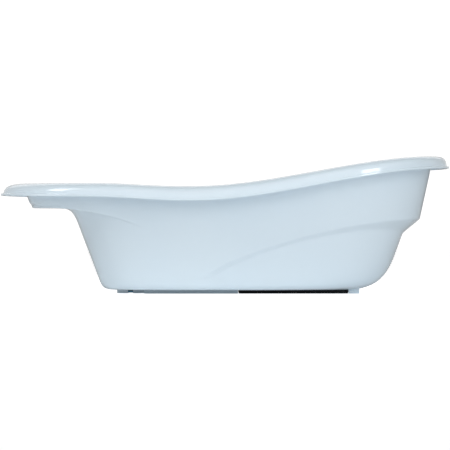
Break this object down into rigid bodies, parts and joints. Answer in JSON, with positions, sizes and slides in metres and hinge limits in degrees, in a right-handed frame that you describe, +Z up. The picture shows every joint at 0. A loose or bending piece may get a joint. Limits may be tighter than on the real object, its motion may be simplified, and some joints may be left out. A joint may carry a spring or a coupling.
{
  "type": "baby bathtub",
  "caption": "Moulded plastic baby bathtub with a wavy rolled rim, soap ledge, stepped back slope, pull-out drain plug and rubber base strips.",
  "frame": {"origin": "on the ground under the middle of the tub's outline", "axes": "+X along the tub towards the raised head end, +Y to its left as seen from the foot end, +Z up"},
  "size_m": [0.93, 0.5098, 0.283],
  "materials": {
    "tub_plastic": "gloss moulded polypropylene, pale ice blue",
    "plug_plastic": "gloss moulded polypropylene, white with a blue cast",
    "seal_rubber": "smooth black seal rubber",
    "glide_rubber": "matt black rubber",
    "grip_rubber": "soft matt thermoplastic rubber with raised dots",
    "gauge_clear": "clear moulded plastic",
    "gauge_film": "printed colour-changing film, plain colour fields"
  },
  "bodies": {
    "tub": {"tub_shell": "tub_plastic", "base_glide_left": "glide_rubber", "base_glide_right": "glide_rubber", "seat_grip_pad": "grip_rubber", "back_grip_pad": "grip_rubber", "foot_grip_pad": "grip_rubber", "gauge_window": "gauge_clear", "gauge_strip": "gauge_film"},
    "plug": {"drain_plug": "plug_plastic", "plug_seal": "seal_rubber"},
    "pull_ring": {"plug_pull_ring": "plug_plastic"}
  },
  "joints": [
    {"name": "plug_lift", "type": "slide", "parent": "tub", "child": "plug", "axis": [0, 0, 1], "range_m": [0, 0.06]},
    {"name": "pull_ring_fold", "type": "hinge", "parent": "plug", "child": "pull_ring", "pos_m": [-0.196, 0, 0.0156], "axis": [0, -1, 0], "range_deg": [0, 180]}
  ]
}
